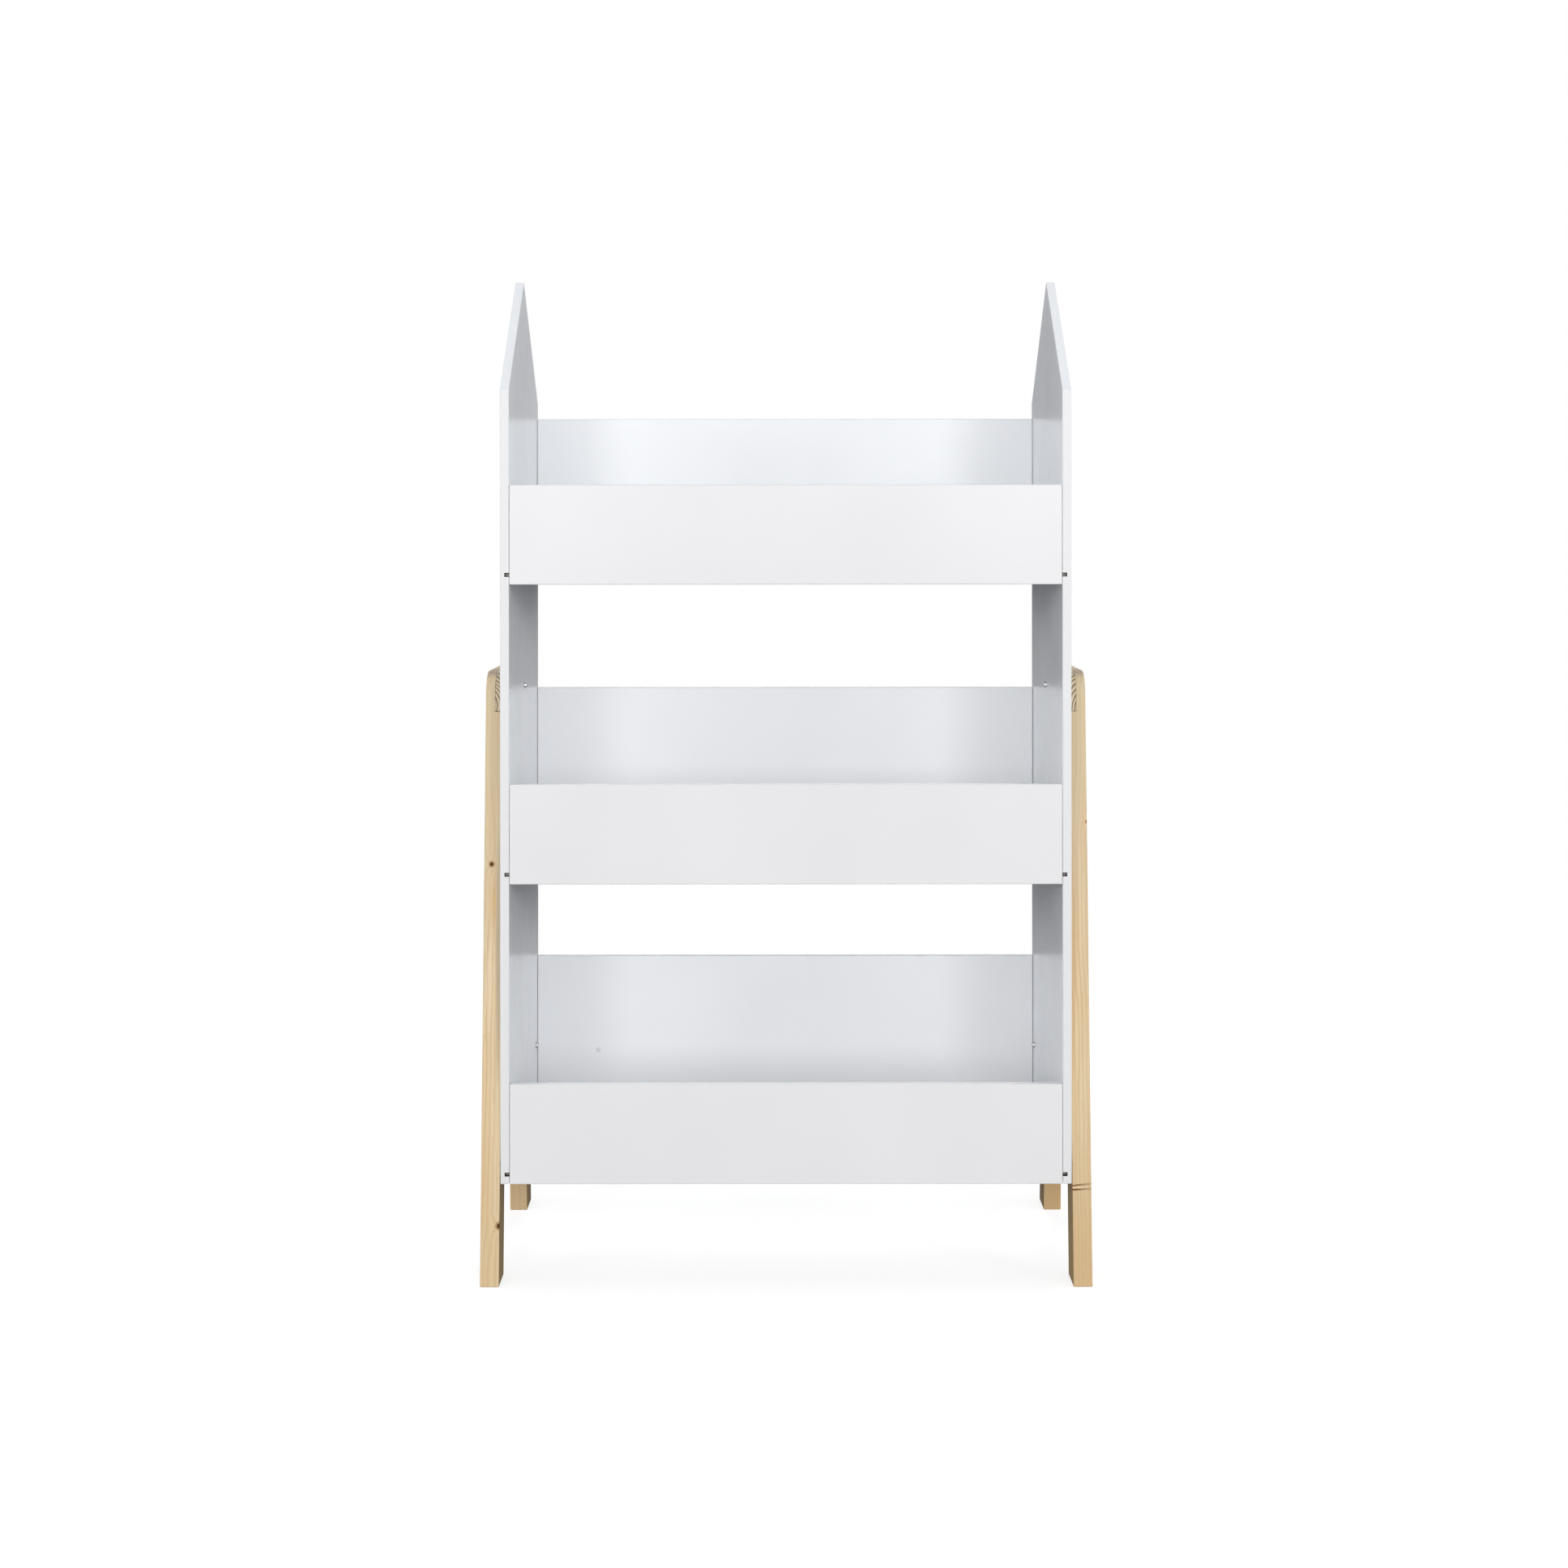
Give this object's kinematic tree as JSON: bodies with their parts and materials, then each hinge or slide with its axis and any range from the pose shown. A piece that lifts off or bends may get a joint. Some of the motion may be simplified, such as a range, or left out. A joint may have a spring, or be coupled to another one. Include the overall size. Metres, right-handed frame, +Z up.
{
  "type": "kids bookcase",
  "caption": "Kids bookcase: house-shaped white side panels, open book trays with low fronts and higher backs, and a leaning pine leg frame on each side.",
  "frame": {"origin": "on the floor, midway between the side panels and midway in their depth", "axes": "+X to the right as seen from the front, +Y from front to back, +Z up"},
  "size_m": [0.6106, 0.2998, 1.0167],
  "materials": {
    "white_board": "fibreboard, satin white paint",
    "white_floor": "thin fibreboard, white foil",
    "pine": "clear matt lacquer on pine",
    "beech": "bare dowel",
    "zinc_steel": "zinc plated"
  },
  "bodies": {
    "root": {"side_panel_left": "white_board", "side_panel_right": "white_board", "front_board_bottom": "white_board", "front_board_middle": "white_board", "front_board_top": "white_board", "back_board_bottom": "white_board", "back_board_middle": "white_board", "back_board_top": "white_board", "floor_board_bottom": "white_floor", "floor_board_middle": "white_floor", "floor_board_top": "white_floor", "leg_front_left": "pine", "leg_front_right": "pine", "leg_back_left": "pine", "leg_back_right": "pine", "top_rail_left": "pine", "top_rail_right": "pine", "dowel_bottom_left_front": "beech", "dowel_bottom_left_back": "beech", "dowel_bottom_right_front": "beech", "dowel_bottom_right_back": "beech", "dowel_middle_left_front": "beech", "dowel_middle_left_back": "beech", "dowel_middle_right_front": "beech", "dowel_middle_right_back": "beech", "dowel_top_left_front": "beech", "dowel_top_left_back": "beech", "dowel_top_right_front": "beech", "dowel_top_right_back": "beech", "tray_screw_bottom_left_front": "zinc_steel", "tray_screw_bottom_left_back_low": "zinc_steel", "tray_screw_bottom_left_back_high": "zinc_steel", "tray_screw_bottom_right_front": "zinc_steel", "tray_screw_bottom_right_back_low": "zinc_steel", "tray_screw_bottom_right_back_high": "zinc_steel", "tray_screw_middle_left_front": "zinc_steel", "tray_screw_middle_left_back_low": "zinc_steel", "tray_screw_middle_left_back_high": "zinc_steel", "tray_screw_middle_right_front": "zinc_steel", "tray_screw_middle_right_back_low": "zinc_steel", "tray_screw_middle_right_back_high": "zinc_steel", "tray_screw_top_left_front": "zinc_steel", "tray_screw_top_left_back_low": "zinc_steel", "tray_screw_top_left_back_high": "zinc_steel", "tray_screw_top_right_front": "zinc_steel", "tray_screw_top_right_back_low": "zinc_steel", "tray_screw_top_right_back_high": "zinc_steel", "frame_screw_left_front": "zinc_steel", "frame_screw_left_back": "zinc_steel", "frame_screw_left_top": "zinc_steel", "frame_screw_right_front": "zinc_steel", "frame_screw_right_back": "zinc_steel", "frame_screw_right_top": "zinc_steel"}
  },
  "joints": []
}
